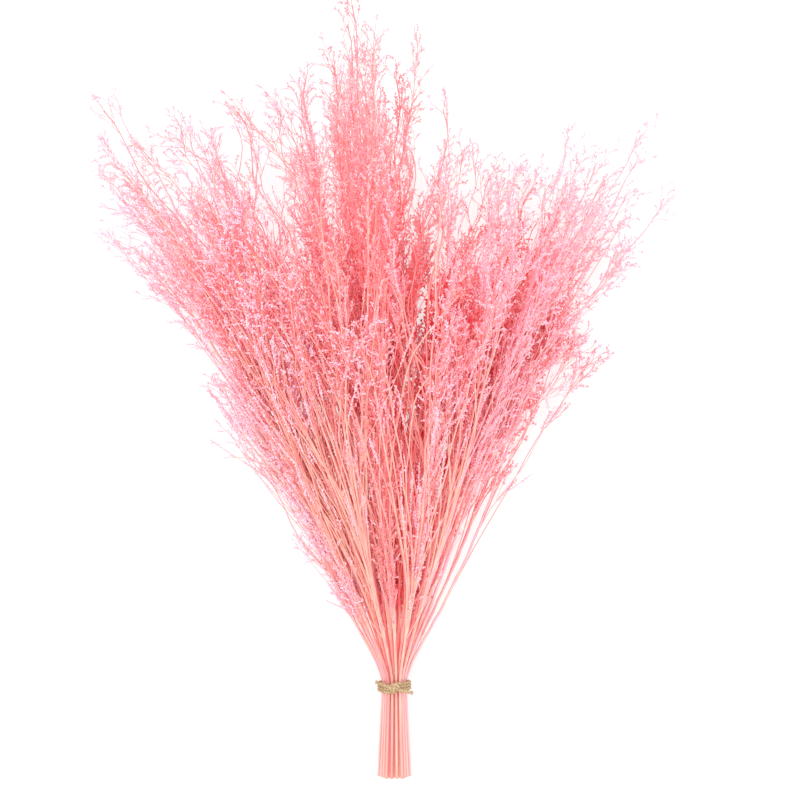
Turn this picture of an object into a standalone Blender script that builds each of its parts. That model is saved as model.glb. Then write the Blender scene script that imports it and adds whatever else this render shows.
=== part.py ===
"""Dried statice bouquet: a tied bunch of dyed stalks, lying on a flat surface.

X runs across the fan, Y from the cut ends to the flower tips, Z up. All sizes are in metres.
The stalks stand side by side in the tie, which is the waist of the bunch, and fan out above it.
Every stalk carries beaded twigs, each bead a cluster of florets, fused to it as one solid.
Heights along Y count from the tie while the bunch is built. At the end the whole bunch moves so
that the origin is on the surface, under the middle of its outline.
"""

import math
import random

import bmesh
import bpy
from mathutils import Vector

# The bunch: stalks on a close lattice of rings, held by the tie at height zero.
RINGS = 3
STALK_PITCH = 0.00225
ROW_STEP = math.sqrt(3) / 2
CUT_END = 0.054
FAN_ACROSS = 0.204
FAN_CLOSING = 0.700
FAN_DEPTH = 0.080
TWIST = 0.050
TAIL_FLARE = 0.020
WAIST_BEND = 0.009
EDGE_SAG = 0.45
SAG_LENGTH = 0.120
ARCH = 0.14
ARCH_START = 0.160
ARCH_LENGTH = 0.200
SURFACE_GAP = 0.0016

# The three plumes: distance of the tips from the tie, by the angle from straight ahead.
REACH = (
    (-27, 0.336), (-23, 0.366), (-20, 0.374), (-17, 0.350), (-14, 0.300), (-11, 0.338),
    (-8.5, 0.380), (-6, 0.406), (-2, 0.376), (2, 0.346), (5, 0.318), (9, 0.276),
    (12, 0.326), (15, 0.342), (18, 0.354), (22, 0.340), (27, 0.316),
)
REACH_HEIGHT = 0.300
PLUME_SPACING = math.radians(23.5)
PLUME_GAP = math.radians(-14)
PLUME_GATHER = math.radians(2.0)
SHORTEST = 0.84

# Stems and twigs
STEM_RADIUS = 0.00095
STEM_TIP_RADIUS = 0.00070
STEM_SIDES = 5
STEM_WAVE = 0.07
TWIG_RADIUS = 0.00060
TWIG_SIDES = 3
TIP_RADIUS = 0.00030
BEAD_RADIUS = 0.0027
BEAD_SWAY = 0.0014
BEAD_FLARE = 0.2
TWIG_GAP = 0.0004
TWIGS_BY_RING = (2, 2, 4, 5)
LOWEST_TWIG = (0.28, 0.40)
LOW_SPRAY = (0.16, 0.24)
LOW_SPRAY_SIDE = -1.9
SPREAD = (0.42, 0.60)
OUTER_SPREAD = 1.3
LOW_SPREAD = 1.9
RESTING_SPREAD = 2.5
BEADS = 4
CROWN_START = 0.70
CROWN_SINK = 0.004
REST_HEIGHT = 0.0015
GOLDEN_ANGLE = math.radians(137.5)

# The tie: turns of twine with a knot on top.
TURNS = 3
TWINE_RADIUS = 0.0011
TWINE_SIDES = 5
TIE_STEPS = 20
TIE_CLEARANCE = 0.00035
TIE_FLAT = 0.00045
KNOT_SIZE = (0.0036, 0.0030, 0.0017)
END_LENGTH = 0.011

SHARP_ANGLE = math.radians(40)
SEED = 5
WELD = 0.00001


def lattice():
    """Places of the stalks in the tie, in steps of the pitch, row by row from the bottom."""
    places = []
    for row in range(-RINGS, RINGS + 1):
        count = 2 * RINGS + 1 - abs(row)
        for column in range(count):
            places.append((column - (count - 1) / 2, row * ROW_STEP))
    return places


PLACES = lattice()
LOWEST_ROW = RINGS * ROW_STEP
BUNDLE_RADIUS = RINGS * STALK_PITCH + STEM_RADIUS
TIE_INNER = BUNDLE_RADIUS + TIE_CLEARANCE
TIE_OUTER = TIE_INNER + 2 * TWINE_RADIUS
TIE_HEIGHT = TIE_OUTER - TIE_FLAT
TURN_SPACING = 1.8 * TWINE_RADIUS
TIE_HALF_WIDTH = TURN_SPACING * (TURNS - 1) / 2 + TWINE_RADIUS


def ring_of(place):
    return round(max(abs(place[1]) / ROW_STEP, abs(place[0]) + abs(place[1]) / (2 * ROW_STEP)))


def bend_in(distance):
    """Zero inside the tie and straight beyond it, with a soft bend where the stems leave it."""
    distance -= TIE_HALF_WIDTH
    return distance * distance / (distance + WAIST_BEND) if distance > 0 else 0.0


def smooth(value):
    value = min(max(value, 0.0), 1.0)
    return value * value * (3 - 2 * value)


def bunch_point(u, v, y):
    """The point at height y of the stalk that stands at place (u, v) of the lattice.

    For each y this is a one-to-one map of the lattice plane, so no two stalks can cross.
    """
    above, below = bend_in(y), bend_in(-y)
    across = STALK_PITCH + FAN_ACROSS * above / (1 + above / FAN_CLOSING) + TAIL_FLARE * below
    depth = STALK_PITCH + FAN_DEPTH * above + TAIL_FLARE * below
    settled = smooth(above / SAG_LENGTH)
    x = across * u - TWIST * above * v
    slope = math.atan2(x, above + WAIST_BEND)
    slope += PLUME_GATHER * settled * math.sin(2 * math.pi * (slope - PLUME_GAP) / PLUME_SPACING)
    x = math.tan(slope) * (above + WAIST_BEND)
    x *= 1 + ARCH * smooth((above - ARCH_START) / ARCH_LENGTH) * min((x / (RINGS * across)) ** 2, 1.3)
    lift = TIE_HEIGHT - SURFACE_GAP - LOWEST_ROW * STALK_PITCH
    floor = SURFACE_GAP + lift * math.exp(-(y / CUT_END) ** 2)
    edge = x / (RINGS * across)
    sag = 1 - EDGE_SAG * settled * min(edge * edge, 1.3)
    return Vector((x, y, floor + (v + LOWEST_ROW) * depth * sag))


def local_pitch(u, v, y):
    """Real size of one lattice step at this point, in the direction where it is least."""
    step = 0.05
    return (bunch_point(u, v + step, y) - bunch_point(u, v - step, y)).length / (2 * step)


def room(place, u, v):
    """How far (u, v) lies inside the share of the bunch that belongs to the stalk at place."""
    own = (u - place[0]) ** 2 + (v - place[1]) ** 2
    least = math.inf
    for other in PLACES:
        if other is not place:
            away = (u - other[0]) ** 2 + (v - other[1]) ** 2
            least = min(least, (away - own) / (2 * math.dist(place, other)))
    return least


def plume_height(place):
    """Height of a stalk's tip, from the direction in which the stalk leaves the tie."""
    far = bunch_point(*place, REACH_HEIGHT)
    angle = math.atan2(far.x, far.y)
    degrees = min(max(math.degrees(angle), REACH[0][0]), REACH[-1][0])
    for (low, start), (high, end) in zip(REACH, REACH[1:]):
        if degrees <= high:
            return math.cos(angle) * (start + (end - start) * (degrees - low) / (high - low))


def unit_profile(name, sides, collection):
    """A polygon of radius 1, so that a curve point's radius is the real one."""
    curve = bpy.data.curves.new(name, "CURVE")
    curve.dimensions = "2D"
    spline = curve.splines.new("POLY")
    spline.points.add(sides - 1)
    for index, point in enumerate(spline.points):
        turn = 2 * math.pi * index / sides
        point.co = (math.cos(turn), math.sin(turn), 0, 1)
    spline.use_cyclic_u = True
    profile = bpy.data.objects.new(name, curve)
    profile.hide_render = True
    profile.display_type = "WIRE"
    collection.objects.link(profile)
    return profile


def tube(name, points, radii, profile, material, collection):
    """A capped tube through the points."""
    curve = bpy.data.curves.new(name, "CURVE")
    curve.dimensions = "3D"
    curve.bevel_mode = "OBJECT"
    curve.bevel_object = profile
    curve.use_fill_caps = True
    curve.materials.append(material)
    spline = curve.splines.new("POLY")
    spline.points.add(len(points) - 1)
    for point, place, radius in zip(spline.points, points, radii):
        point.co = (*place, 1)
        point.radius = radius
    body = bpy.data.objects.new(name, curve)
    collection.objects.link(body)
    return body


def as_mesh(body):
    """Replace a curve object by its mesh, with the caps welded on."""
    depsgraph = bpy.context.evaluated_depsgraph_get()
    mesh = bpy.data.meshes.new_from_object(body.evaluated_get(depsgraph))
    shape = bmesh.new()
    shape.from_mesh(mesh)
    bmesh.ops.remove_doubles(shape, verts=shape.verts, dist=WELD)
    bmesh.ops.recalc_face_normals(shape, faces=shape.faces)
    shape.to_mesh(mesh)
    shape.free()
    mesh.shade_smooth()
    mesh.set_sharp_from_angle(angle=SHARP_ANGLE)
    name = body.name
    solid = bpy.data.objects.new(name + "_mesh", mesh)
    solid.matrix_world = body.matrix_world
    for collection in body.users_collection:
        collection.objects.link(solid)
    bpy.data.objects.remove(body)
    solid.name = mesh.name = name
    return solid


def join_all(solid, parts):
    """Fuse the parts to the solid in one Boolean union, and remove them."""
    group = bpy.data.collections.new(solid.name + "_parts")
    bpy.context.scene.collection.children.link(group)
    for part in parts:
        for collection in part.users_collection:
            collection.objects.unlink(part)
        group.objects.link(part)
    union = solid.modifiers.new("union", "BOOLEAN")
    union.operation = "UNION"
    union.operand_type = "COLLECTION"
    union.collection = group
    union.solver = "EXACT"
    union.material_mode = "TRANSFER"
    depsgraph = bpy.context.evaluated_depsgraph_get()
    mesh = bpy.data.meshes.new_from_object(solid.evaluated_get(depsgraph))
    mesh.set_sharp_from_angle(angle=SHARP_ANGLE)
    mesh.name = solid.name
    solid.modifiers.clear()
    solid.data = mesh
    for part in parts:
        bpy.data.objects.remove(part)
    bpy.data.collections.remove(group)


def press_flat(solid, surface):
    """Flatten whatever would reach below the surface that the bunch lies on."""
    cut = solid.modifiers.new("surface", "BOOLEAN")
    cut.operation = "DIFFERENCE"
    cut.object = surface
    cut.solver = "EXACT"


def make_material(name, color, roughness):
    material = bpy.data.materials.new(name)
    material.use_nodes = True
    shader = material.node_tree.nodes["Principled BSDF"]
    shader.inputs["Base Color"].default_value = (*color, 1)
    shader.inputs["Roughness"].default_value = roughness
    shader.inputs["Metallic"].default_value = 0
    return material


def stem_course(place, height, chance):
    """Points and radii of a stem, from its cut end to the foot of its crown."""
    heights = [-CUT_END, -TIE_HALF_WIDTH, TIE_HALF_WIDTH, 0.018, 0.050]
    heights += [height * part for part in (0.32, 0.52, CROWN_START)]
    phase = chance.uniform(0, 2 * math.pi)
    points, radii = [], []
    for y in heights:
        wave = STEM_WAVE * smooth(y / SAG_LENGTH)
        u = place[0] + wave * math.sin(phase + 30 * y)
        v = place[1] + wave * math.cos(phase + 23 * y)
        points.append(bunch_point(u, v, y))
        share = smooth(max(y, 0) / height)
        radii.append(STEM_RADIUS + (STEM_TIP_RADIUS - STEM_RADIUS) * share)
    return points, radii


def point_on(points, y):
    """The point of a stem at height y."""
    for start, end in zip(points, points[1:]):
        if y <= end.y:
            return start.lerp(end, (y - start.y) / (end.y - start.y))
    return points[-1].copy()


def twig_course(place, stem, start, length, heading, spread, chance):
    """Points and radii of a beaded twig that leaves the stem and bends up alongside it.

    The twig keeps inside its own stalk's share of the bunch, so it clears every other stalk.
    """
    points, radii = [point_on(stem, start)], [TWIG_RADIUS]
    count = 2 * BEADS
    for step in range(1, count + 1):
        is_bead = step % 2 == 1
        part = (step + BEAD_FLARE * is_bead) / count
        bead = BEAD_RADIUS * (1 - 0.25 * part) * chance.uniform(0.8, 1.1)
        radius = bead if is_bead else TWIG_RADIUS
        y = start + length * part
        away = spread * (1 - (1 - part) ** 2)
        sway = BEAD_SWAY / local_pitch(*place, y) * (1 if step % 4 == 1 else -1 if is_bead else 0)
        while True:
            u = place[0] + away * math.cos(heading) - sway * math.sin(heading)
            v = place[1] + away * math.sin(heading) + sway * math.cos(heading)
            if room(place, u, v) * local_pitch(u, v, y) >= radius + TWIG_GAP or away < 0.02:
                break
            away *= 0.88
            sway *= 0.88
        point = bunch_point(u, v, y)
        point.z = max(point.z, REST_HEIGHT)
        points.append(point)
        radii.append(radius if step < count else TIP_RADIUS)
    return points, radii


def make_stalk(number, place, profiles, materials, collection):
    """One stalk: its stem and its twigs, as objects that are still to be fused."""
    chance = random.Random(SEED * 1000 + number)
    name = f"stalk_{number:02d}"
    ring = ring_of(place)
    shortest = 0.5 * (1 + SHORTEST) if ring == RINGS else SHORTEST
    height = plume_height(place) * chance.uniform(shortest, 1.0)
    points, radii = stem_course(place, height, chance)
    stem = tube(name, points, radii, profiles[0], materials[0], collection)
    twigs = []
    count = TWIGS_BY_RING[ring]
    is_low = ring == RINGS and place[0] < LOW_SPRAY_SIDE
    first = height * chance.uniform(*(LOW_SPRAY if is_low else LOWEST_TWIG))
    last = height * 0.68
    outward = math.atan2(place[1], place[0])
    crown_spread = chance.uniform(0.35, 0.75) if ring == RINGS else chance.uniform(0.05, 0.3)
    crown_start = height * CROWN_START - CROWN_SINK
    courses = [twig_course(place, points, crown_start, height - crown_start, outward, crown_spread, chance)]
    heading = outward - GOLDEN_ANGLE if ring == RINGS else chance.uniform(0, 2 * math.pi)
    for index in range(count):
        part = index / (count - 1)
        start = first + (last - first) * part
        length = height * (0.36 - 0.10 * part) * chance.uniform(0.9, 1.1)
        heading += GOLDEN_ANGLE + chance.uniform(-0.3, 0.3)
        spread = chance.uniform(*SPREAD)
        if ring == RINGS and math.cos(heading - outward) > 0:
            low_spread = RESTING_SPREAD if place[1] < 0 else LOW_SPREAD
            spread *= low_spread if is_low else OUTER_SPREAD
        courses.append(twig_course(place, points, start, length, heading, spread, chance))
    for index, course in enumerate(courses):
        twigs.append(tube(f"{name}_twig_{index}", *course, profiles[1], materials[1], collection))
    return stem, twigs


def make_surface(cutters):
    """A block whose top is the surface that the bunch lies on."""
    bpy.ops.mesh.primitive_cube_add(size=1, location=(0, 0.15, -0.01))
    block = bpy.context.object
    block.name = "surface_cutter"
    block.scale = (1, 1, 0.02)
    block.hide_render = True
    block.display_type = "WIRE"
    for collection in block.users_collection:
        collection.objects.unlink(block)
    cutters.objects.link(block)
    return block


def make_tie(material, profile, collection):
    """Turns of twine side by side round the bundle, a knot on top and its two cut ends."""
    middle = TIE_INNER + TWINE_RADIUS
    turns = []
    for turn in range(TURNS):
        bpy.ops.mesh.primitive_torus_add(
            major_radius=middle, minor_radius=TWINE_RADIUS,
            major_segments=TIE_STEPS, minor_segments=TWINE_SIDES,
            location=(0, TURN_SPACING * (turn - (TURNS - 1) / 2), TIE_HEIGHT), rotation=(math.pi / 2, 0, 0),
        )
        body = bpy.context.object
        body.data.materials.append(material)
        turns.append(body)
    bpy.ops.mesh.primitive_uv_sphere_add(
        segments=8, ring_count=6, radius=1, location=(0, 0, TIE_HEIGHT + TIE_OUTER), scale=KNOT_SIZE,
    )
    knot = bpy.context.object
    knot.data.materials.append(material)
    ends = []
    for side in (-1, 1):
        heights = (0.2, 1.2, 0.8, 0.3)
        reaches = (0.1, 0.45, 0.75, 1.0)
        points = [
            (side * END_LENGTH * reach, -side * 0.3 * END_LENGTH * reach,
             TIE_HEIGHT + TIE_OUTER + TWINE_RADIUS * height - 0.0022 * reach * reach)
            for reach, height in zip(reaches, heights)
        ]
        radii = [0.75 * TWINE_RADIUS] * len(points)
        ends.append(as_mesh(tube(f"twine_end_{side}", points, radii, profile, material, collection)))
    tie = turns.pop()
    tie.name = tie.data.name = "tie"
    for owner in tie.users_collection:
        owner.objects.unlink(tie)
    collection.objects.link(tie)
    bpy.context.view_layer.update()
    join_all(tie, turns + [knot] + ends)
    return tie


def center_over_origin(bodies):
    """Move everything so that the middle of the outline is over the origin."""
    depsgraph = bpy.context.evaluated_depsgraph_get()
    corners = []
    for body in bodies:
        shape = body.evaluated_get(depsgraph)
        corners += [shape.matrix_world @ vertex.co for vertex in shape.data.vertices]
    middle = [0.5 * (min(c[axis] for c in corners) + max(c[axis] for c in corners)) for axis in (0, 1)]
    bunch = bpy.data.objects.new("bunch", None)
    bodies[0].users_collection[0].objects.link(bunch)
    bunch.location = (-middle[0], -middle[1], 0)
    for body in bodies:
        body.parent = bunch
    return bunch


def main():
    for body in list(bpy.data.objects):
        bpy.data.objects.remove(body)
    bunch = bpy.data.collections.new("dried statice bouquet")
    cutters = bpy.data.collections.new("cutters")
    for collection in (bunch, cutters):
        bpy.context.scene.collection.children.link(collection)
    stem_profile = unit_profile("stem_profile", STEM_SIDES, cutters)
    twig_profile = unit_profile("twig_profile", TWIG_SIDES, cutters)
    stem_material = make_material("dyed_stem", (0.94, 0.50, 0.40), 0.7)
    floret_material = make_material("dyed_florets", (0.96, 0.36, 0.44), 0.85)
    twine_material = make_material("twine", (0.62, 0.47, 0.30), 0.9)
    surface = make_surface(cutters)
    stalks = [
        make_stalk(number, place, (stem_profile, twig_profile), (stem_material, floret_material), bunch)
        for number, place in enumerate(PLACES, 1)
    ]
    bpy.context.view_layer.update()
    bodies = []
    for stem, twigs in stalks:
        solid = as_mesh(stem)
        join_all(solid, [as_mesh(twig) for twig in twigs])
        if min(vertex.co.z for vertex in solid.data.vertices) < 0:
            press_flat(solid, surface)
        bodies.append(solid)
    tie = make_tie(twine_material, stem_profile, bunch)
    press_flat(tie, surface)
    bodies.append(tie)
    bpy.context.view_layer.update()
    center_over_origin(bodies)


main()
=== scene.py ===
import math
import random

import bpy
import numpy as np
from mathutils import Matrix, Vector, noise


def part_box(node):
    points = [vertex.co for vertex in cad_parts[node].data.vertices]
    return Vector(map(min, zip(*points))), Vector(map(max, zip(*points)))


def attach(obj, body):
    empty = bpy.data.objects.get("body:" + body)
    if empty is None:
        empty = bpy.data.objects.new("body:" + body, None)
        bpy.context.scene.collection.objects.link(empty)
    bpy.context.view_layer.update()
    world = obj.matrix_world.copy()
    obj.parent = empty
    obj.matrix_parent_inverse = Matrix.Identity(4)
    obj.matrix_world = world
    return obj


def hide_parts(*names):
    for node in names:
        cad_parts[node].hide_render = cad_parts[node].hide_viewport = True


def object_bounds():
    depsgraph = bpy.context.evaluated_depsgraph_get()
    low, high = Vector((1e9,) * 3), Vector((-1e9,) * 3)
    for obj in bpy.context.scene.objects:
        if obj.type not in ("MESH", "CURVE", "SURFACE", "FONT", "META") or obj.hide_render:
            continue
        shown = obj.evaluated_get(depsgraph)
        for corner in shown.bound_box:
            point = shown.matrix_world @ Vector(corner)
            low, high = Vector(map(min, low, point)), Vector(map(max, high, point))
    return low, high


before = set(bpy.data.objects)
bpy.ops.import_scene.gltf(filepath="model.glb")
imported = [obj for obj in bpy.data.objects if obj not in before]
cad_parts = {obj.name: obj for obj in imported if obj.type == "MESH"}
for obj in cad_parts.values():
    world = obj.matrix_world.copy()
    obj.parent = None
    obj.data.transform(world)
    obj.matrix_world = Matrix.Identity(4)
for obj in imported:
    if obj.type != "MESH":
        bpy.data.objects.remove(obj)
cadBox = [list(corner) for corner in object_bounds()]

# The bunch lies on the floor: x across the fan, y from the cut ends to the tips, z up.
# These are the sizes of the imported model, in metres, so that every fine piece lies where its solid is.
bunchShape = {
    "rings": 3,  # of stalks round the middle one
    "stalkPitch": 0.00225,  # between stalks in the tie
    "cutEnd": 0.054,  # from the tie to the cut ends
    "fanAcross": 0.204,
    "fanClosing": 0.700,
    "fanDepth": 0.080,
    "twist": 0.050,
    "tailFlare": 0.020,
    "waistBend": 0.009,
    "edgeSag": 0.45,  # how much lower the sides of the fan lie
    "edgeLimit": 1.3,  # past the outline, sag and arch grow no more
    "sagLength": 0.120,
    "arch": 0.14,  # outward bend of the outer tips
    "archSpan": (0.160, 0.200),
    "surfaceGap": 0.0016,
    "reach": (  # how far the tips are from the tie, by direction in degrees
        (-27, 0.336), (-23, 0.366), (-20, 0.374), (-17, 0.350), (-14, 0.300), (-11, 0.338),
        (-8.5, 0.380), (-6, 0.406), (-2, 0.376), (2, 0.346), (5, 0.318), (9, 0.276),
        (12, 0.326), (15, 0.342), (18, 0.354), (22, 0.340), (27, 0.316),
    ),
    "reachHeight": 0.300,
    "plumeSpacing": math.radians(23.5),
    "plumeGap": math.radians(-14),
    "plumeGather": math.radians(2.0),
    "shortest": 0.84,
    "seed": 5,
}

stalkShape = {
    "stemRadius": 0.00095,
    "stemWave": 0.07,
    "waveRates": (30, 23),
    "lowPoints": (0.018, 0.050),  # heights of the stem's points above the tie
    "highPoints": (0.32, 0.52),  # and as shares of its own height
    "twigRadius": 0.00060,
    "beadRadius": 0.0027,
    "beadTaper": 0.25,
    "beadJitter": (0.8, 1.1),
    "beadSway": 0.0014,
    "beadFlare": 0.2,
    "beads": 4,
    "twigGap": 0.0004,
    "drawIn": 0.88,  # each step of a twig that has no room
    "leastAway": 0.02,
    "twigsByRing": (2, 2, 4, 5),
    "twigLength": (0.36, 0.10),  # of the stalk's height, and what the last twig lacks
    "lengthJitter": (0.9, 1.1),
    "turnJitter": (-0.3, 0.3),
    "lowestTwig": (0.28, 0.40),
    "lastTwig": 0.68,
    "lowSpray": (0.16, 0.24),
    "lowSpraySide": -1.9,
    "spread": (0.42, 0.60),
    "outerSpread": 1.3,
    "lowSpread": 1.9,
    "restingSpread": 2.5,
    "crownStart": 0.70,
    "crownSink": 0.004,
    "crownSpread": (0.05, 0.3),
    "outerCrownSpread": (0.35, 0.75),
    "restHeight": 0.0015,
    "goldenAngle": math.radians(137.5),
}

tieShape = {
    "turns": 3,
    "twineRadius": 0.0011,
    "clearance": 0.00035,
    "flat": 0.00045,
}

# Least heights of centre lines and points above the floor.
leastHeight = {
    "floret": 0.00005, "sprout": 0.0005, "drawnIn": 0.0006, "shoot": 0.0008,
    "coil": 0.0009, "strand": 0.0005, "fuzz": 0.0001,
}

anyTurn = 6.28  # random turns are drawn from 0 to this
rowStep = math.sqrt(3) / 2
lowestRow = bunchShape["rings"] * rowStep
tieInner = bunchShape["rings"] * bunchShape["stalkPitch"] + stalkShape["stemRadius"] + tieShape["clearance"]
tieOuter = tieInner + 2 * tieShape["twineRadius"]
tieHeight = tieOuter - tieShape["flat"]
turnSpacing = 1.8 * tieShape["twineRadius"]
tieHalfWidth = turnSpacing * (tieShape["turns"] - 1) / 2 + tieShape["twineRadius"]


def placesInTie():
    places = []
    rings = bunchShape["rings"]
    for row in range(-rings, rings + 1):
        count = 2 * rings + 1 - abs(row)
        places += [(column - (count - 1) / 2, row * rowStep) for column in range(count)]
    return places


places = placesInTie()
tieLow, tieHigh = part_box("tie")
bunchShift = np.array([(tieLow.x + tieHigh.x) / 2, (tieLow.y + tieHigh.y) / 2, 0.0])  # from the tie to the origin


def ringOf(place):
    return round(max(abs(place[1]) / rowStep, abs(place[0]) + abs(place[1]) / (2 * rowStep)))


def bendIn(distance):
    past = np.maximum(np.asarray(distance, float) - tieHalfWidth, 0.0)
    return past * past / (past + bunchShape["waistBend"])


def smooth(value):
    value = np.clip(value, 0.0, 1.0)
    return value * value * (3 - 2 * value)


def ramp(value, span):
    # From 0 to 1: span says where it starts and over what length.
    return smooth((value - span[0]) / span[1])


def blend(pair, part):
    # From the first number of the pair to the second.
    return pair[0] + (pair[1] - pair[0]) * part


def fanAcrossAt(above):
    return bunchShape["stalkPitch"] + bunchShape["fanAcross"] * above / (1 + above / bunchShape["fanClosing"])


def bunchPoint(u, v, y):
    # The point at height y of whatever stands at (u, v) in the tie. Takes numbers or arrays.
    shape = bunchShape
    u, v, y = np.broadcast_arrays(np.asarray(u, float), np.asarray(v, float), np.asarray(y, float))
    above, below = bendIn(y), bendIn(-y)
    across = fanAcrossAt(above) + shape["tailFlare"] * below
    depth = shape["stalkPitch"] + shape["fanDepth"] * above + shape["tailFlare"] * below
    settled = smooth(above / shape["sagLength"])
    x = across * u - shape["twist"] * above * v
    slope = np.arctan2(x, above + shape["waistBend"])
    phase = 2 * math.pi * (slope - shape["plumeGap"]) / shape["plumeSpacing"]
    slope = slope + shape["plumeGather"] * settled * np.sin(phase)
    x = np.tan(slope) * (above + shape["waistBend"])
    arched = shape["arch"] * ramp(above, shape["archSpan"])
    x = x * (1 + arched * np.minimum((x / (shape["rings"] * across)) ** 2, shape["edgeLimit"]))
    lift = tieHeight - shape["surfaceGap"] - lowestRow * shape["stalkPitch"]
    base = shape["surfaceGap"] + lift * np.exp(-(y / shape["cutEnd"]) ** 2)
    edge = x / (shape["rings"] * across)
    sag = 1 - shape["edgeSag"] * settled * np.minimum(edge * edge, shape["edgeLimit"])
    return np.stack([x, y, base + (v + lowestRow) * depth * sag], axis=-1)


def localPitch(u, v, y, step=0.05):
    return float(np.linalg.norm(bunchPoint(u, v + step, y) - bunchPoint(u, v - step, y))) / (2 * step)


def roomAt(place, u, v):
    own = (u - place[0]) ** 2 + (v - place[1]) ** 2
    least = math.inf
    for other in places:
        if other is not place:
            away = (u - other[0]) ** 2 + (v - other[1]) ** 2
            least = min(least, (away - own) / (2 * math.dist(place, other)))
    return least


def fromTable(value, table):
    return np.interp(value, *zip(*table))


def directionOf(points):
    return np.degrees(np.arctan2(points[..., 0], points[..., 1]))


def plumeHeight(place):
    far = bunchPoint(*place, bunchShape["reachHeight"])
    return math.cos(math.atan2(far[0], far[1])) * float(fromTable(directionOf(far), bunchShape["reach"]))


def drawer(look, chance):
    # Draws numbers between the two that a key of the look gives.
    return lambda key, *count: chance.uniform(*look[key], *count)


def stemCourse(place, height, chance):
    shape = stalkShape
    heights = [-bunchShape["cutEnd"], -tieHalfWidth, tieHalfWidth, *shape["lowPoints"]]
    heights += [height * part for part in (*shape["highPoints"], shape["crownStart"])]
    phase = chance.uniform(0, 2 * math.pi)
    y = np.array(heights)
    wave = shape["stemWave"] * smooth(y / bunchShape["sagLength"])
    across, over = (phase + rate * y for rate in shape["waveRates"])
    return bunchPoint(place[0] + wave * np.sin(across), place[1] + wave * np.cos(over), y)


def pointOn(points, y):
    return np.array([np.interp(y, points[:, 1], points[:, axis]) for axis in range(3)])


def twigCourse(place, stem, start, length, heading, spread, draw):
    shape = stalkShape
    points = [pointOn(stem, start)]
    count = 2 * shape["beads"]
    for step in range(1, count + 1):
        isBead = step % 2 == 1
        part = (step + shape["beadFlare"] * isBead) / count
        bead = shape["beadRadius"] * (1 - shape["beadTaper"] * part) * draw("beadJitter")
        radius = bead if isBead else shape["twigRadius"]
        y = start + length * part
        away = spread * (1 - (1 - part) ** 2)
        sway = shape["beadSway"] / localPitch(*place, y) * (1 if step % 4 == 1 else -1 if isBead else 0)
        while True:
            u = place[0] + away * math.cos(heading) - sway * math.sin(heading)
            v = place[1] + away * math.sin(heading) + sway * math.cos(heading)
            room = roomAt(place, u, v) * localPitch(u, v, y)
            if room >= radius + shape["twigGap"] or away < shape["leastAway"]:
                break
            away *= shape["drawIn"]
            sway *= shape["drawIn"]
        point = bunchPoint(u, v, y)
        point[2] = max(point[2], shape["restHeight"])
        points.append(point)
    return np.array(points)


def stalkCourses(number, place):
    # The stem and twigs of one stalk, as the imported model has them.
    shape = stalkShape
    chance = random.Random(bunchShape["seed"] * 1000 + number)
    draw = drawer(shape, chance)
    ring = ringOf(place)
    isOuter = ring == bunchShape["rings"]
    shortest = 0.5 * (1 + bunchShape["shortest"]) if isOuter else bunchShape["shortest"]
    height = plumeHeight(place) * chance.uniform(shortest, 1.0)
    stem = stemCourse(place, height, chance)
    count = shape["twigsByRing"][ring]
    isLow = isOuter and place[0] < shape["lowSpraySide"]
    first = height * draw("lowSpray" if isLow else "lowestTwig")
    last = height * shape["lastTwig"]
    outward = math.atan2(place[1], place[0])
    crownSpread = draw("outerCrownSpread" if isOuter else "crownSpread")
    crownStart = height * shape["crownStart"] - shape["crownSink"]
    crown = twigCourse(place, stem, crownStart, height - crownStart, outward, crownSpread, draw)
    heading = outward - shape["goldenAngle"] if isOuter else chance.uniform(0, 2 * math.pi)
    longest, shorter = shape["twigLength"]
    twigs = []
    for index in range(count):
        part = index / (count - 1)
        start = blend((first, last), part)
        length = height * (longest - shorter * part) * draw("lengthJitter")
        heading += shape["goldenAngle"] + draw("turnJitter")
        spread = draw("spread")
        if isOuter and math.cos(heading - outward) > 0:
            lowSpread = shape["restingSpread"] if place[1] < 0 else shape["lowSpread"]
            spread *= lowSpread if isLow else shape["outerSpread"]
        twigs.append(twigCourse(place, stem, start, length, heading, spread, draw))
    return height, stem, crown, twigs


def addObject(name, data):
    piece = bpy.data.objects.new(name, data)
    bpy.context.scene.collection.objects.link(piece)
    return piece


# Lines, tubes and florets are made as arrays.

class Shell:
    # Gathers closed bodies, each with its material, and turns them into one mesh.
    def __init__(self):
        self.parts, self.total = [], 0

    def add(self, points, faces, finish, isSmooth=False):
        count = faces.size // 3
        self.parts.append((points.reshape(-1, 3), faces.reshape(-1, 3) + self.total,
                           np.full(count, finish, np.int32), np.full(count, isSmooth)))
        self.total += points.size // 3

    def build(self, name, coats, shift):
        points, faces, finish, isSmooth = (np.concatenate(kind) for kind in zip(*self.parts))
        points = points + shift
        points[:, 2] = np.maximum(points[:, 2], 0.0)
        mesh = bpy.data.meshes.new(name)
        mesh.vertices.add(len(points))
        mesh.vertices.foreach_set("co", points.astype(np.float32).ravel())
        mesh.loops.add(faces.size)
        mesh.loops.foreach_set("vertex_index", faces.astype(np.int32).ravel())
        mesh.polygons.add(len(faces))
        mesh.polygons.foreach_set("loop_start", np.arange(0, faces.size, 3, dtype=np.int32))
        mesh.polygons.foreach_set("material_index", finish)
        mesh.polygons.foreach_set("use_smooth", isSmooth)
        for coat in coats:
            mesh.materials.append(coat)
        mesh.update(calc_edges=True)
        return addObject(name, mesh)


uprightFrom = 0.8  # z of a direction that counts as upright
mostFlatSides = 4  # smooth light on the facets of the thinnest tubes would darken them


def liftOver(points, what):
    points[..., 2] = np.maximum(points[..., 2], leastHeight[what])
    return points


def unit(vectors):
    return vectors / np.maximum(np.linalg.norm(vectors, axis=-1, keepdims=True), 1e-12)


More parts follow.
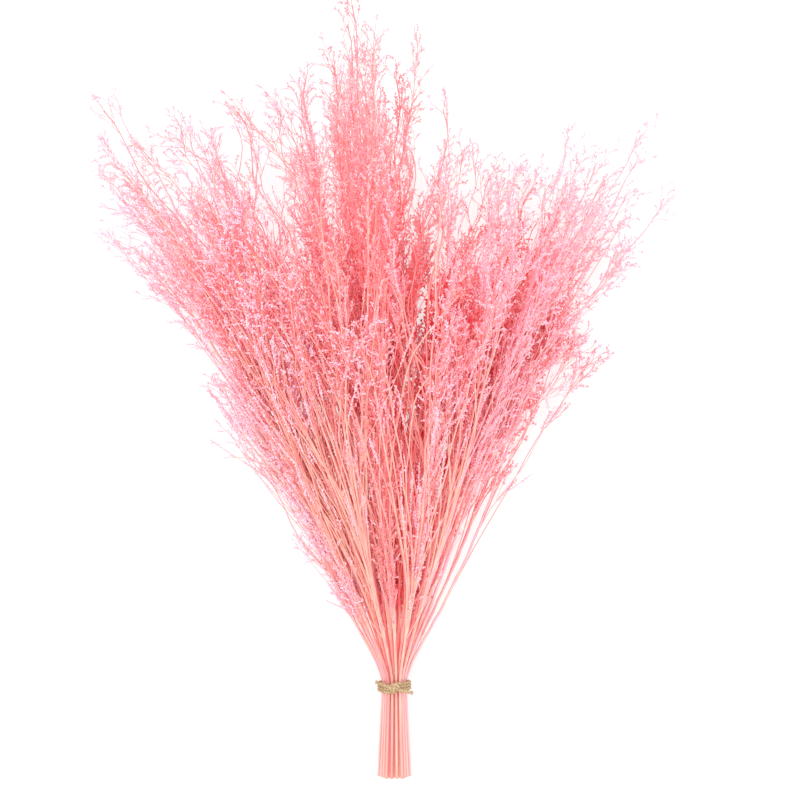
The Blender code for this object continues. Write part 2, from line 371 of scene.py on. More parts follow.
def awayFrom(directions):
    # A main axis that is not close to the direction given.
    return np.where(np.abs(directions[..., 2:3]) > uprightFrom, [1.0, 0.0, 0.0], [0.0, 0.0, 1.0])


def sidesOf(directions):
    # Two directions square to each direction given.
    side = unit(np.cross(directions, awayFrom(directions)))
    return side, np.cross(directions, side)


def turned(side, up, turn):
    # The direction at this turn between the two sides.
    return np.cos(turn)[:, None] * side + np.sin(turn)[:, None] * up


def turnsOf(owner, order, step, jitter, chance):
    # A random turn for each owner, then one step more for each shoot in order.
    start = chance.uniform(0, anyTurn, owner[-1] + 1)[owner]
    return start + step * order + chance.normal(0, jitter, len(owner))


def roundPoints(count, height):
    # Points round the z axis at this height.
    turn = 2 * math.pi * np.arange(count) / count
    return np.stack([np.cos(turn), np.sin(turn), np.full(count, height)], 1)


def fineLine(points, steps, count):
    # A smooth line through the points, worked out in so many steps to each span, with its points at even distances.
    padded = np.vstack([2 * points[0] - points[1], points, 2 * points[-1] - points[-2]])
    t = np.linspace(0, 1, steps, endpoint=False)[:, None]
    line = [0.5 * (2 * b + (c - a) * t + (2 * a - 5 * b + 4 * c - d) * t ** 2 + (3 * b - a - 3 * c + d) * t ** 3)
            for a, b, c, d in zip(padded, padded[1:], padded[2:], padded[3:])]
    line = np.vstack(line + [points[-1:]])
    run = np.concatenate([[0], np.cumsum(np.linalg.norm(np.diff(line, axis=0), axis=1))])
    want = np.linspace(0, run[-1], count)
    return np.stack([np.interp(want, run, line[:, axis]) for axis in range(3)], axis=-1)


def lengthsOf(lines):
    return np.linalg.norm(np.diff(lines, axis=1), axis=2).sum(1)


def triangles(*corners):
    return np.stack(np.broadcast_arrays(*corners), 1)


def addTubes(shell, lines, radii, sides, finish, ribs=0.0):
    # Closed tubes along lines of shape (count, points, 3).
    count, length = lines.shape[:2]
    ahead = unit(np.gradient(lines, axis=1))
    middle = unit(lines[:, -1:] - lines[:, :1])
    side = unit(np.cross(ahead, np.broadcast_to(awayFrom(middle), ahead.shape)))
    up = np.cross(ahead, side)
    turn = 2 * math.pi * np.arange(sides) / sides
    rib = 1 - ribs * (np.arange(sides) % 2)
    ring = side[:, :, None] * (np.cos(turn) * rib)[:, None] + up[:, :, None] * (np.sin(turn) * rib)[:, None]
    points = lines[:, :, None] + np.broadcast_to(radii, (count, length))[:, :, None, None] * ring
    column, row = np.arange(sides), np.arange(length - 1)[:, None] * sides
    low, near = (row + column).ravel(), (row + (column + 1) % sides).ravel()
    fan = np.arange(1, sides - 1)
    one = np.concatenate([
        triangles(low, near, near + sides), triangles(low, near + sides, low + sides),
        triangles(0, fan + 1, fan), triangles(0, fan, fan + 1) + (length - 1) * sides,
    ])
    faces = one[None] + (np.arange(count) * length * sides)[:, None, None]
    shell.add(points, faces, finish, sides > mostFlatSides)


def doubleCone(sides, rimHeight, endHeight):
    # A closed floret of radius 1 from its foot over its rim to its end, as points and faces.
    points = np.vstack([[0, 0, 0], roundPoints(sides, rimHeight), [0, 0, endHeight]])
    k, n = np.arange(sides) + 1, (np.arange(sides) + 1) % sides + 1
    return points, np.concatenate([triangles(0, n, k), triangles(sides + 1, k, n)])


def funnel():
    # The simplest closed floret, for those deep in the bunch and the small ones at the tips.
    return np.vstack([[0, 0, 0], roundPoints(3, 1.0)]), np.array([[0, 2, 1], [0, 3, 2], [0, 1, 3], [1, 2, 3]])


def addFlorets(shell, form, spots, ahead, lengths, widths, chance, finish):
    points, faces = form
    side, up = sidesOf(ahead)
    roll = chance.uniform(0, 2 * math.pi, len(spots))
    across, over = turned(side, up, roll), turned(up, -side, roll)
    widths = widths[:, None, None]
    body = spots[:, None] + lengths[:, None, None] * points[None, :, 2:3] * ahead[:, None]
    body = body + widths * (points[None, :, 0:1] * across[:, None] + points[None, :, 1:2] * over[:, None])
    shell.add(liftOver(body, "floret"), faces[None] + (np.arange(len(spots)) * len(points))[:, None, None], finish)


def along(lines, owner, part):
    # Point and direction at a share of the length of the owner's line.
    last = lines.shape[1] - 1
    place = np.clip(part, 0, 1) * last
    low = np.minimum(place.astype(int), last - 1)
    share = (place - low)[:, None]
    start, stop = lines[owner, low], lines[owner, low + 1]
    return start + (stop - start) * share, unit(stop - start)


def sprout(lines, owner, part, turn, angle, length, bend, count, lean):
    # Side shoots: each leaves its owner's line at an angle, bends back along it and leans over.
    root, ahead = along(lines, owner, part)
    side, up = sidesOf(ahead)
    away = turned(side, up, turn)
    s = np.linspace(0, 1, count)[None, :, None]
    rise, reach = np.cos(angle)[:, None, None], np.sin(angle)[:, None, None]
    line = ahead[:, None] * s * (rise + (1 - rise) * bend * s) + away[:, None] * reach * (s - 0.5 * bend * s * s)
    return liftOver(root[:, None] + length[:, None, None] * (line + lean[:, None] * s * s), "sprout")


# Finishes.

nodeSpacing, mostNodes = 200, 15  # in the node editor


def addNode(tree, kind, inputs=None, **settings):
    # inputs holds numbers, or the outputs of other nodes.
    node = tree.nodes.new(kind)
    node.location = (nodeSpacing * (len(tree.nodes) - mostNodes), 0)
    for name, value in settings.items():
        setattr(node, name, value)
    fillInputs(tree, node, inputs or {})
    return node.outputs


def fillInputs(tree, node, inputs):
    for key, value in inputs.items():
        if isinstance(value, bpy.types.NodeSocket):
            tree.links.new(value, node.inputs[key])
        else:
            node.inputs[key].default_value = value


def newFinish(name, inputs):
    finish = bpy.data.materials.new(name)
    finish.use_nodes = True
    tree = finish.node_tree
    shader = tree.nodes["Principled BSDF"]
    fillInputs(tree, shader, inputs)
    return finish, tree, shader


def addNoise(tree, spot, scale, detail=2.0, roughness=0.5):
    inputs = {"Vector": spot, "Scale": scale, "Detail": detail, "Roughness": roughness}
    return addNode(tree, "ShaderNodeTexNoise", inputs)["Fac"]


def addRamp(tree, value, stops):
    colors, stops = addNode(tree, "ShaderNodeValToRGB", {0: value})["Color"], list(stops)
    elements = colors.node.color_ramp.elements
    while len(elements) < len(stops):
        elements.new(0.5)
    for element, (position, color) in zip(elements, stops):
        element.position = position
        element.color = (*color, 1)
    return colors


def cover(tree, shader, look, color, tint, height):
    # The color, multiplied by a share of the tint, and the bumps of this height go to the shader.
    inputs = {0: look["tintShare"], 6: color, 7: tint}
    mixed = addNode(tree, "ShaderNodeMix", inputs, data_type="RGBA", blend_type="MULTIPLY")[2]
    strength, distance = look["bump"]
    bumps = addNode(tree, "ShaderNodeBump", {"Height": height, "Strength": strength, "Distance": distance})["Normal"]
    fillInputs(tree, shader, {"Base Color": mixed, "Normal": bumps})


def makeCover(name, look, stops):
    # One noise chooses the color between the stops, the other one tints it.
    finish, tree, shader = newFinish(name, look["shader"])
    spot = addNode(tree, "ShaderNodeTexCoord")["Object"]
    noises = {key: addNoise(tree, spot, *look[key]) for key in ("colorNoise", "tintNoise")}
    color = addRamp(tree, noises["colorNoise"], stops)
    tint = addRamp(tree, noises["tintNoise"], look["tint"])
    cover(tree, shader, look, color, tint, noises[look["bumpBy"]])
    return finish


floretFinishLook = {
    "shader": {"Roughness": 0.82, "Specular IOR Level": 0.2},
    "colorNoise": (34.0, 2.0, 0.5), "tintNoise": (620.0, 1.0, 0.6),  # scale, detail and roughness
    "tint": ((0.38, (1.0, 0.80, 0.82)), (0.50, (1, 1, 1))), "tintShare": 1.0,
    "bumpBy": "tintNoise", "bump": (0.25, 0.0001),
    "dyeStops": (0.30, 0.50, 0.70),
    # dyes, and the redder, darker painted shade of the inner layers: patches run from the first color to the last
    "dyesAndShades": {
        "lilac": ((0.96, 0.66, 0.78), (0.96, 0.72, 0.84), (0.96, 0.77, 0.88)),
        "pink": ((0.97, 0.58, 0.68), (0.97, 0.64, 0.74), (0.97, 0.70, 0.80)),
        "rose": ((0.96, 0.43, 0.51), (0.96, 0.51, 0.59), (0.96, 0.59, 0.68)),
        "salmon": ((0.97, 0.51, 0.53), (0.97, 0.57, 0.61), (0.97, 0.63, 0.68)),
        # painted shade: redder and darker, for florets deeper in the bunch
        "coralShade": ((0.98, 0.36, 0.39), (0.98, 0.43, 0.47), (0.98, 0.51, 0.56)),
        "deep": ((0.98, 0.22, 0.24), (0.98, 0.29, 0.32), (0.98, 0.38, 0.42)),
        "heartShade": ((0.98, 0.11, 0.12), (0.98, 0.16, 0.18), (0.98, 0.23, 0.25)),
    },
}


stemFinishLook = {
    "shader": {"Roughness": 0.55},
    "dyeRise": {"From Min": -0.34, "From Max": 0.20},  # along the bunch: the dye is thin below
    "dyeStops": (0.15, 0.45, 0.9),
    "patchStrength": 2.2,
    "streaks": (520.0, 30.0, 520.0),
    "stemToStem": (300.0, 5.0, 300.0),
    "tint": ((0.35, (1.0, 0.76, 0.74)), (0.62, (1, 1, 1))), "tintShare": 0.7,
    "bump": (0.6, 0.00015),
    # from thin to full dye; the two redder, darker kinds for stems under the upper rows are painted shade
    "dyesAndShades": {
        "stemDyed": ((0.90, 0.52, 0.44), (0.92, 0.39, 0.36), (0.94, 0.31, 0.33)),
        "stemOuter": ((0.92, 0.56, 0.50), (0.94, 0.52, 0.53), (0.96, 0.50, 0.57)),
        "stemShade": ((0.95, 0.40, 0.36), (0.96, 0.34, 0.33), (0.97, 0.32, 0.34)),
        "stemHeartShade": ((0.95, 0.34, 0.31), (0.96, 0.21, 0.20), (0.97, 0.15, 0.17)),
        "stemPale": ((0.94, 0.60, 0.49), (0.94, 0.57, 0.48), (0.95, 0.54, 0.50)),
    },
}


def makeStemFinish(name, tones):
    # Streaks along the stem tint it. The dye grows up the bunch, in patches that differ from stem to stem.
    look = stemFinishLook
    finish, tree, shader = newFinish(name, look["shader"])
    spot = addNode(tree, "ShaderNodeTexCoord")["Object"]
    upward = addNode(tree, "ShaderNodeSeparateXYZ", {0: spot})["Y"]
    rise = addNode(tree, "ShaderNodeMapRange", {"Value": upward, **look["dyeRise"]})["Result"]
    stretched, apart = (addNode(tree, "ShaderNodeMapping", {"Vector": spot, "Scale": look[key]})["Vector"]
                        for key in ("streaks", "stemToStem"))
    streaks = addNoise(tree, stretched, 1.0, 3.0, 0.6)
    patches = addNode(tree, "ShaderNodeMath", {0: addNoise(tree, apart, 1.0, 1.0), 1: 0.5}, operation="SUBTRACT")[0]
    inputs = {0: patches, 1: look["patchStrength"], 2: rise}
    dye = addNode(tree, "ShaderNodeMath", inputs, operation="MULTIPLY_ADD")[0]
    color = addRamp(tree, dye, zip(look["dyeStops"], tones))
    cover(tree, shader, look, color, addRamp(tree, streaks, look["tint"]), streaks)
    return finish


twineFinishLook = {
    "shader": {"Roughness": 0.9},
    "colorNoise": (900.0, 4.0, 0.7), "tintNoise": (160.0, 2.0, 0.5),
    "fibres": ((0.3, (0.33, 0.20, 0.10)), (0.5, (0.60, 0.43, 0.25)), (0.72, (0.78, 0.62, 0.42))),
    "tint": ((0.35, (0.85, 0.80, 0.74)), (0.65, (1, 1, 1))), "tintShare": 0.9,
    "bumpBy": "colorNoise", "bump": (0.8, 0.0002),
}

pithFinishLook = {
    "shader": {"Roughness": 0.8},
    "grainScale": 1800.0,
    "grain": ((0.3, (0.80, 0.58, 0.40)), (0.7, (0.96, 0.84, 0.68))),
}


def makePithFinish():
    look = pithFinishLook
    finish, tree, shader = newFinish("cutPith", look["shader"])
    grain = addNoise(tree, addNode(tree, "ShaderNodeTexCoord")["Object"], look["grainScale"])
    fillInputs(tree, shader, {"Base Color": addRamp(tree, grain, look["grain"])})
    return finish


stemDyesAndShades = {name: makeStemFinish(name, tones) for name, tones in stemFinishLook["dyesAndShades"].items()}
twineFibre = makeCover("twineFibre", twineFinishLook, twineFinishLook["fibres"])
cutPith = makePithFinish()
floretDyesAndShades = {name: makeCover(f"floret{name.title()}", floretFinishLook, zip(floretFinishLook["dyeStops"], tones))
              for name, tones in floretFinishLook["dyesAndShades"].items()}
print("finishes made")


# The stalks.

stemLook = {
    "points": 56,
    "steps": 8,
    "kink": 0.00018,
    "straightPoints": 12,  # from the cut end
    "tipRadius": 0.00028,
    "taper": (0.1, 0.9),
    "sides": 6,
    "ribs": 0.16,
    "pithShare": 0.72,  # of the stem's radius
    "pithProud": 0.0001,
    "pithSunk": 0.00004,
    # painted shade: stems of stalks under the upper rows are redder and darker, reddest across the middle of the tie
    "underRow": 1, "underSide": 1.9,  # stems of stalks below this row and within these sides are of the deep kind
    "heartShade": (0.1, 0.6),  # across the tie, where the deep stems are reddest
    "seed": 9000,
}

sprayLook = {
    "runners": (5, 5, 5, 4),  # thin side stems by ring
    "runnerFrom": (0.030, 0.130),
    "runnerTo": (0.55, 0.97),
    "runnerSpread": (0.4, 1.25),
    "runnerBare": 0.45,  # share of its length below the first florets
    "runnerShape": {"points": 12, "steps": 3, "shake": 0.045, "curl": 1.3},
    "twigBare": 0.14,
    "crownBare": 0.05,
    "carrierRadius": (0.00045, 0.00022),
    "carrierPoints": 16,
    "carrierSteps": 4,
    "placeJitter": (0.5, 1.0),  # of a shoot or floret, in its own share of the line
    "branchletPitch": 0.0031,
    "branchletTurn": 2.4, "branchletTurnJitter": 0.3,
    "bodyShare": 0.95,  # of the branchlets kept below the tips
    "tightLength": (0.022, 0.012),  # low on a twig, at its tip
    "tightAngle": (0.12, 0.33),
    "looseLength": (0.030, 0.013),
    "looseAngle": (0.28, 0.58),
    "looseShare": 0.30,  # in the body of the bunch
    "looseEdge": (0.55, 0.35), "looseTip": (0.7, 0.3),  # where all turn loose
    "lengthJitter": (0.65, 1.15),
    "halfWidth": 0.15,
    "lean": (0.20, -0.10, -0.05),  # outward, back and down at the sides
    "leanJitter": 0.07,
    "tightLean": 0.4,
    "branchletRadius": (0.00024, 0.00015),
    "branchletPoints": 4, "branchletBend": 0.5, "branchletBare": 0.12,
    "spikeletPitch": 0.0046, "spikeletFrom": 0.2, "spikeletTurnJitter": 0.5,
    "spikeletLength": (0.0045, 0.0085),
    "spikeletByPart": (1.15, 0.45),  # longer low on its branchlet, shorter at the end
    "spikeletAngle": (0.25, 0.70),
    "spikeletLean": 0.16, "spikeletBend": -0.35, "spikeletPoints": 3, "spikeletBare": 0.25,
    "spikeletRadius": 0.00016,
    "spikeletRoom": 1.5,
    "floretPitch": 0.00088,
    "floretLength": (0.0012, 0.0020),
    "floretTilt": (0.20, 0.60), "floretTurnJitter": 0.6,
    "deepGrowth": 1.45,  # florets are larger and fewer where the bunch is deep
    "budWidth": 0.30,  # radius as a share of the length
    "calyxWidth": 0.36,
    "simpleWidth": 0.38,
    "simpleFrom": 0.4,  # nearness to the tips
    "tipFinesse": (0.25, 0.20, 0.05),  # how much thinner, shorter and smaller all is at the tips
    "calyxShare": 0.3,
    # painted shade: how far under the upper rows florets take the redder, darker inner layers, and thin tubes the
    # redder stem finish
    "coralShadeFrom": 0.30, "deepShadeFrom": 0.62, "depthJitter": 0.10,
    "shadedStemFrom": 0.22,
    "deepRows": 3, "leastTop": 0.6,
    "tips": (0.60, 0.30), "tipLift": 0.8,  # the tips start here and count as less deep
    "thinFrom": (  # share of the reach from which the shoots thin out, by direction
        (-27, 0.25), (-20, 0.28), (-15, 0.45), (-10, 0.74), (-2, 0.76), (4, 0.64), (9, 0.54), (13, 0.70),
        (16, 0.52), (22, 0.30), (27, 0.25),
    ),
    "thinEdge": (0.70, 0.40),
    # in this direction, in degrees, and up to this share of the reach, no shoots stand above the row named floor
    "cleft": {"toward": 3.7, "halfWidth": 2.9, "floor": 0.5, "until": 0.86},
    "holeScale": 60.0,
    "holeJitter": 0.10,
    "holes": (-0.36, 0.22),  # noise below which no shoot stands: in the body, at the outline
    "fullFrom": 0.90,  # share of a line past which every shoot stays
    "outside": (0.004, 0.002, 0.003),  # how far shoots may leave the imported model's box
    "leastShare": 0.15,  # of a shoot that is drawn in
}

wandLook = {
    "count": {34: 12, 35: 12, 29: 4, 30: 12, 31: 5, 23: 4, 24: 5, 37: 6, 33: 6, 36: 2, 32: 3},  # by stalk
    "from": (0.004, 0.080),
    "to": (0.60, 0.98),
    "aside": (-1.9, 1.5),
    "leftmost": (-2.9, -2.0, -2.0, -2.0),  # in turn
    "rightmost": 2.7,
    "above": (0.30, 0.95),
    "curl": (0.9, 2.4),
    "bare": 0.70,
    "radius": (0.00056, 0.00034),
    "sides": 4,
    "sideCount": {10: 2, 16: 5, 23: 4},  # stray shoots beyond the left side
    "sideFrom": (0.030, 0.110),
    "sideTo": (0.42, 0.90),
    "sideReach": (0.25, 0.95),
    "sideLift": (0.0, 0.8),
    "sideCurl": 1.9,
    "twigBare": {34: 0.50, 35: 0.50, 30: 0.50, 31: 0.66, 36: 0.62, 26: 0.50, 23: 0.30, 24: 0.35},
    "runnerBare": {34: 0.6, 35: 0.6, 30: 0.6, 31: 0.8, 36: 0.8, 26: 0.6},
    "forks": 3,
    "forkAt": (0.08, 0.50),
    "forkLength": (0.035, 0.095),
    "forkAngle": (0.14, 0.42),
    "forkRadius": (0.00030, 0.00016),
    "forkPoints": 7, "forkBend": 0.25, "forkLean": 0.05, "forkBare": 0.72,
}

fillLook = {
    # these shoots lie under the upper rows and take their red from painted shade
    "count": 4,  # short coral shoots low on each stalk of the under side
    "from": (0.004, 0.030),
    "to": (0.075, 0.165),
    "aside": (0.1, 0.8),
    "bare": 0.20,
    "rightmost": 1,
    "strands": {29: 4, 34: 3, 16: 2, 23: 2, 36: 3, 31: 2, 37: 2},  # on the upper side, by stalk
    "strandTo": (0.120, 0.185),
    "strandAside": (-0.5, 0.5),
    "strandAbove": (0.1, 0.5),
}

# Dyes and painted shade across the fan: up to each place, the colours of the outer florets and of two layers inside.
# The inner layers are redder and darker as painted shade, and up to 0.6 the florets are red throughout, as painted
# shade at the central gap.
dyesAndShadesAcross = (
    (-1.9, ("lilac", "lilac", "pink")),
    (-1.4, ("lilac", "pink", "pink")),
    (-0.9, ("pink", "salmon", "coralShade")),
    (0.1, ("salmon", "salmon", "salmon")),
    (0.6, ("coralShade", "deep", "heartShade")),
    (1.6, ("pink", "pink", "salmon")),
    (2.1, ("pink", "salmon", "coralShade")),
    (9.0, ("pink", "rose", "coralShade")),
)

# The order of the materials on each stalk: the second one is the stems' painted shade, and the last three are the
# florets' layers, from the outer one in, the inner ones with painted shade.
finishOf = {"stem": 0, "shadedStem": 1, "paleStem": 2, "pith": 3, "floret": 4}
floretLayers = 3

# Buds, open papery mouths with a dent, and the simplest form, each with its width.
floretForms = (
    (doubleCone(3, 0.45, 1), sprayLook["budWidth"]),
    (doubleCone(4, 1.0, 0.72), sprayLook["calyxWidth"]),
    (funnel(), sprayLook["simpleWidth"]),
)


def finishesFor(place):
    isSide = abs(place[0]) > stemLook["underSide"]
    isHeart = stemLook["heartShade"][0] < place[0] <= stemLook["heartShade"][1]
    # the second stem finish is the stems' painted shade, and the florets' inner layers carry painted shade too
    stems = "stemOuter" if isSide else "stemDyed", "stemHeartShade" if isHeart else "stemShade", "stemPale"
    dyesAndShades = next(names for limit, names in dyesAndShadesAcross if place[0] <= limit)
    return [stemDyesAndShades[name] for name in stems] + [cutPith] + [floretDyesAndShades[name] for name in dyesAndShades]


def farAndEdge(points):
    # How far a point is toward the tips and toward the sides of the bunch, 1 at the outline.
    far = np.hypot(points[..., 0], points[..., 1]) / fromTable(directionOf(points), bunchShape["reach"])
    return far, np.abs(points[..., 0]) / (bunchShape["rings"] * fanAcrossAt(bendIn(points[..., 1])))


def rowAt(points, edge):
    # The row of the stalks that pass at this height.
    shape = bunchShape
    depth = shape["stalkPitch"] + shape["fanDepth"] * bendIn(points[..., 1])
    sag = 1 - shape["edgeSag"] * np.minimum(edge * edge, shape["edgeLimit"])
    return (points[..., 2] - shape["surfaceGap"]) / (depth * sag) - lowestRow


def topRow(place):
    # The highest row of stalks in the same column.
    return rowStep * min(2 * (bunchShape["rings"] - abs(place[0])), bunchShape["rings"])


def buried(points):
    # 0 at the upper side of the bunch and less at its tips, 1 where some rows of stalks lie above the point.
    look, rings = sprayLook, bunchShape["rings"]
    far, edge = farAndEdge(points)
    v = rowAt(points, edge)
    top = rowStep * np.clip(2 * rings * (1 - edge), look["leastTop"], rings)
    return np.clip((top - v) / (look["deepRows"] * rowStep), 0, 1) * (1 - look["tipLift"] * ramp(far, look["tips"]))


def nearTip(points):
    return ramp(farAndEdge(points)[0], sprayLook["tips"])


def hasShoot(root, part, chance):
    # Leaves holes among the shoots, more of them toward the tips and the sides.
    look = sprayLook
    far, edge = farAndEdge(root)
    degrees = directionOf(root)
    thinFrom = fromTable(degrees, look["thinFrom"])
    thin = np.maximum(smooth((far - thinFrom) / (1 - thinFrom)), ramp(edge, look["thinEdge"]))
    blotch = np.array([noise.noise(Vector(spot) * look["holeScale"]) for spot in root])
    blotch = blotch + chance.uniform(-look["holeJitter"], look["holeJitter"], len(root))
    cleft = look["cleft"]
    isCleft = (np.abs(degrees - cleft["toward"]) < cleft["halfWidth"]) & (rowAt(root, edge) > cleft["floor"])
    isCleft = isCleft & (far < cleft["until"])
    isKept = chance.uniform(0, 1, len(root)) < look["bodyShare"] + (1 - look["bodyShare"]) * nearTip(root)
    isKept = isKept & (blotch > blend(look["holes"], thin))
    return (isKept | (part > look["fullFrom"])) & ~isCleft


def keepInside(lines, spare=1.0):
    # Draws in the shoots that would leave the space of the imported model.
    room = np.array(sprayLook["outside"]) * spare
    low, high = np.array(cadBox[0]) - bunchShift - room, np.array(cadBox[1]) - bunchShift + room
    low[2] = leastHeight["drawnIn"]
    root = lines[:, :1]
    reach = lines - root
    allowed = np.where(reach > 0, high - root, root - low)
    share = np.min(allowed / np.maximum(np.abs(reach), 1e-9), axis=(1, 2))
    return root + reach * np.clip(share, sprayLook["leastShare"], 1.0)[:, None, None]


def shoot(place, start, stop, heading, spread, lift, chance, stem, curl=sprayLook["runnerShape"]["curl"]):
    # A thin stem that leaves the main one low down and runs up beside it.
    look = sprayLook["runnerShape"]
    part = np.linspace(0, 1, look["points"])
    away = spread * part ** curl
    shake = chance.normal(0, look["shake"], (2, look["points"])) * part
    line = bunchPoint(place[0] + away * math.cos(heading) + shake[0],
                      place[1] + away * math.sin(heading) + lift * part + shake[1], blend((start, stop), part))
    root = pointOn(stem, start)
    line += (root - line[0]) * ((1 - part) ** 2)[:, None]
    return fineLine(liftOver(line, "shoot"), look["steps"], sprayLook["carrierPoints"])


def runnerLines(place, height, chance, stem):
    draw = drawer(sprayLook, chance)
    return [shoot(place, draw("runnerFrom"), height * draw("runnerTo"), chance.uniform(0, 2 * math.pi),
                  draw("runnerSpread"), 0.0, chance, stem)
            for index in range(sprayLook["runners"][ringOf(place)])]


def wandLines(number, place, height, chance, stem):
    # Bare stems that cross one another over the upper side, and stray shoots at the left.
    look, draw = wandLook, drawer(wandLook, chance)
    lines = []
    for index in range(look["count"].get(number, 0)):
        leftmost = look["leftmost"][index % len(look["leftmost"])]
        aside = min(max(draw("aside"), leftmost - place[0]), look["rightmost"] - place[0])
        lift = topRow(place) - place[1] + draw("above")
        line = shoot(place, draw("from"), height * draw("to"), 0.0, aside, lift, chance, stem, draw("curl"))
        line[:, 2] = np.minimum(line[:, 2], cadBox[1][2])
        lines.append(line)
    for index in range(look["sideCount"].get(number, 0)):
        lines.append(shoot(place, draw("sideFrom"), height * draw("sideTo"), math.pi, draw("sideReach"),
                           draw("sideLift"), chance, stem, look["sideCurl"]))
    return lines


def fillLines(number, place, chance, stem):
    look, draw = fillLook, drawer(fillLook, chance)
    strands = [shoot(place, draw("from"), draw("strandTo"), 0.0, draw("strandAside"),
                     topRow(place) - place[1] + draw("strandAbove"), chance, stem)
               for index in range(look["strands"].get(number, 0))]
    if place[1] >= 0 or place[0] > look["rightmost"]:
        return strands
    return strands + [shoot(place, draw("from"), draw("to"), chance.uniform(0, 2 * math.pi), draw("aside"), 0.0,
                            chance, stem)
                      for index in range(look["count"])]


def addForks(shell, wands, chance):
    # Thin bare side stems, which flower only at their ends.
    look, draw = wandLook, drawer(wandLook, chance)
    count = look["forks"] * len(wands)
    owner = np.arange(count) // look["forks"]
    forks = keepInside(sprout(
        np.stack(wands), owner, draw("forkAt", count), chance.uniform(0, anyTurn, count), draw("forkAngle", count),
        draw("forkLength", count), look["forkBend"], look["forkPoints"],
        chance.normal(0, look["forkLean"], (count, 3)),
    ))
    addTubes(shell, forks, np.linspace(*look["forkRadius"], look["forkPoints"])[None], 3, finishOf["paleStem"])
    return addFloretRows(shell, forks, look["forkBare"], chance)


def spread(runs, pitch, first, chance):
    # Places along lines of the lengths given, as owner, share of the length and order on the line.
    count = np.maximum((runs * (1 - first) / pitch + 0.5).astype(int), 2)
    owner = np.repeat(np.arange(len(runs)), count)
    order = np.concatenate([np.arange(n) for n in count])
    place = order + chance.uniform(*sprayLook["placeJitter"], len(owner))
    return owner, first[owner] + (1 - first[owner]) * place / count[owner], order


def addFloretRows(shell, lines, first, chance):
    # Florets to one side and the other along the lines.
    look, draw = sprayLook, drawer(sprayLook, chance)
    pitch = look["floretPitch"] * (1 + (look["deepGrowth"] - 1) * buried(lines[:, 1]))
    owner, part, order = spread(lengthsOf(lines), pitch, np.full(len(lines), first), chance)
    spots, ahead = along(lines, owner, part)
    side, up = sidesOf(ahead)
    turn = turnsOf(owner, order, math.pi, look["floretTurnJitter"], chance)
    way = unit(turned(ahead, turned(side, up, turn), draw("floretTilt", len(owner))))
    depth = buried(spots) + chance.normal(0, look["depthJitter"], len(owner))
    size = draw("floretLength", len(owner)) * (1 + (look["deepGrowth"] - 1) * np.clip(depth, 0, 1))
    size = size * (1 - look["tipFinesse"][2] * nearTip(spots))
    isOpen = chance.uniform(0, 1, len(owner)) < look["calyxShare"]
    # painted shade: florets deeper under the upper rows take the redder, darker finishes of the inner layers
    layers = np.digitize(depth, (look["coralShadeFrom"], look["deepShadeFrom"]))
    isSimple = (layers > 0) | (nearTip(spots) > look["simpleFrom"])
    isForm = ~isOpen & ~isSimple, isOpen & ~isSimple, isSimple
    for (form, width), isThis in zip(floretForms, isForm):
        for layer in range(floretLayers):
            chosen = isThis & (layers == layer)
            if chosen.any():
                addFlorets(shell, form, spots[chosen], way[chosen], size[chosen], width * size[chosen], chance,
                           finishOf["floret"] + layer)
    return len(owner)


def addByDepth(shell, lines, radii, where):
    # Thin tubes, paler at the upper side and redder inside, as painted shade.
    isDeep = where > sprayLook["shadedStemFrom"]
    radii = np.broadcast_to(radii, lines.shape[:2])
    for finish, chosen in ((finishOf["stem"], ~isDeep), (finishOf["shadedStem"], isDeep)):
        if chosen.any():
            addTubes(shell, lines[chosen], radii[chosen], 3, finish)


